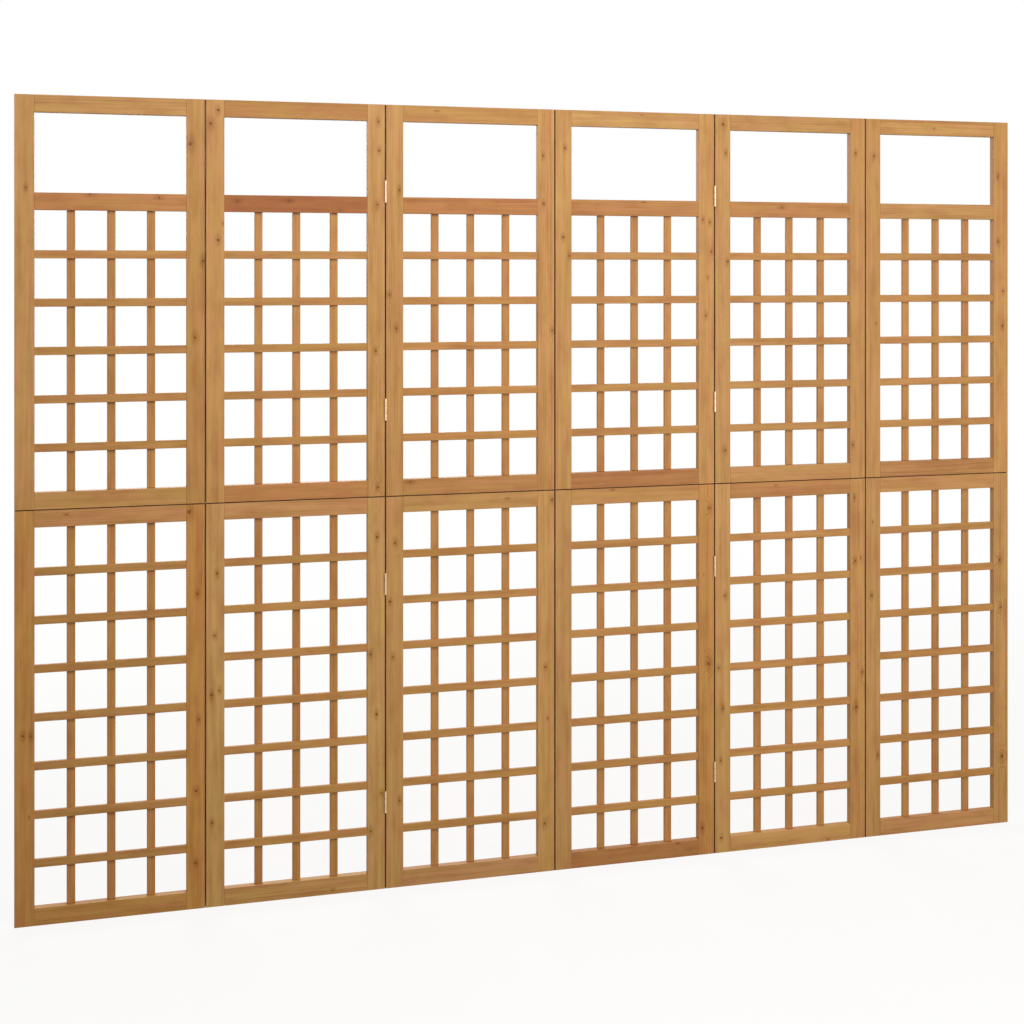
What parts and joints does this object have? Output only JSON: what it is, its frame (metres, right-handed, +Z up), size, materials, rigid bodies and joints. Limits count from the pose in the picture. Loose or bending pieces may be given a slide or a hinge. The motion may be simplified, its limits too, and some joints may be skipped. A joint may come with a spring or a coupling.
{
  "type": "folding lattice screen",
  "caption": "Free-standing wooden folding screen with hinged leaves, each a frame of stiles and rails with an open top window and square lattice below.",
  "frame": {"origin": "on the floor, in the middle of the opened-out screen's length and thickness", "axes": "+X along the leaves from the first to the last, -Y out of the front face, +Z up"},
  "size_m": [2.4276, 0.0294, 1.8],
  "materials": {
    "frame_wood": "satin",
    "slat_wood": "satin",
    "dowel_wood": "matte",
    "zinc": "satin"
  },
  "bodies": {
    "leaf_1": {"leaf_1_upper_frame": "frame_wood", "leaf_1_upper_lattice": "slat_wood", "leaf_1_lower_frame": "frame_wood", "leaf_1_lower_lattice": "slat_wood", "leaf_1_left_dowel": "dowel_wood", "leaf_1_right_dowel": "dowel_wood"},
    "leaf_2": {"leaf_2_upper_frame": "frame_wood", "leaf_2_upper_lattice": "slat_wood", "leaf_2_lower_frame": "frame_wood", "leaf_2_lower_lattice": "slat_wood", "leaf_2_left_dowel": "dowel_wood", "leaf_2_right_dowel": "dowel_wood", "hinge_1_2_no_1_pin_half": "zinc", "hinge_1_2_no_2_pin_half": "zinc", "hinge_1_2_no_3_pin_half": "zinc", "hinge_1_2_no_4_pin_half": "zinc", "hinge_2_3_no_1_pin_half": "zinc", "hinge_2_3_no_2_pin_half": "zinc", "hinge_2_3_no_3_pin_half": "zinc", "hinge_2_3_no_4_pin_half": "zinc"},
    "leaf_3": {"leaf_3_upper_frame": "frame_wood", "leaf_3_upper_lattice": "slat_wood", "leaf_3_lower_frame": "frame_wood", "leaf_3_lower_lattice": "slat_wood", "leaf_3_left_dowel": "dowel_wood", "leaf_3_right_dowel": "dowel_wood"},
    "leaf_4": {"leaf_4_upper_frame": "frame_wood", "leaf_4_upper_lattice": "slat_wood", "leaf_4_lower_frame": "frame_wood", "leaf_4_lower_lattice": "slat_wood", "leaf_4_left_dowel": "dowel_wood", "leaf_4_right_dowel": "dowel_wood", "hinge_3_4_no_1_pin_half": "zinc", "hinge_3_4_no_2_pin_half": "zinc", "hinge_3_4_no_3_pin_half": "zinc", "hinge_3_4_no_4_pin_half": "zinc", "hinge_4_5_no_1_pin_half": "zinc", "hinge_4_5_no_2_pin_half": "zinc", "hinge_4_5_no_3_pin_half": "zinc", "hinge_4_5_no_4_pin_half": "zinc"},
    "leaf_5": {"leaf_5_upper_frame": "frame_wood", "leaf_5_upper_lattice": "slat_wood", "leaf_5_lower_frame": "frame_wood", "leaf_5_lower_lattice": "slat_wood", "leaf_5_left_dowel": "dowel_wood", "leaf_5_right_dowel": "dowel_wood"},
    "leaf_6": {"leaf_6_upper_frame": "frame_wood", "leaf_6_upper_lattice": "slat_wood", "leaf_6_lower_frame": "frame_wood", "leaf_6_lower_lattice": "slat_wood", "leaf_6_left_dowel": "dowel_wood", "leaf_6_right_dowel": "dowel_wood", "hinge_5_6_no_1_pin_half": "zinc", "hinge_5_6_no_2_pin_half": "zinc", "hinge_5_6_no_3_pin_half": "zinc", "hinge_5_6_no_4_pin_half": "zinc"}
  },
  "joints": [
    {"name": "fold_2_3", "type": "hinge", "parent": "leaf_3", "child": "leaf_2", "pos_m": [-0.4048, -0.012, 0.9], "axis": [0, 0, 1], "range_deg": [-2, 178]},
    {"name": "fold_1_2", "type": "hinge", "parent": "leaf_2", "child": "leaf_1", "pos_m": [-0.8096, 0.012, 0.9], "axis": [0, 0, -1], "range_deg": [-2, 178]},
    {"name": "fold_3_4", "type": "hinge", "parent": "leaf_3", "child": "leaf_4", "pos_m": [0, 0.012, 0.9], "axis": [0, 0, 1], "range_deg": [-2, 178]},
    {"name": "fold_4_5", "type": "hinge", "parent": "leaf_4", "child": "leaf_5", "pos_m": [0.4048, -0.012, 0.9], "axis": [0, 0, -1], "range_deg": [-2, 178]},
    {"name": "fold_5_6", "type": "hinge", "parent": "leaf_5", "child": "leaf_6", "pos_m": [0.8096, 0.012, 0.9], "axis": [0, 0, 1], "range_deg": [-2, 178]}
  ]
}
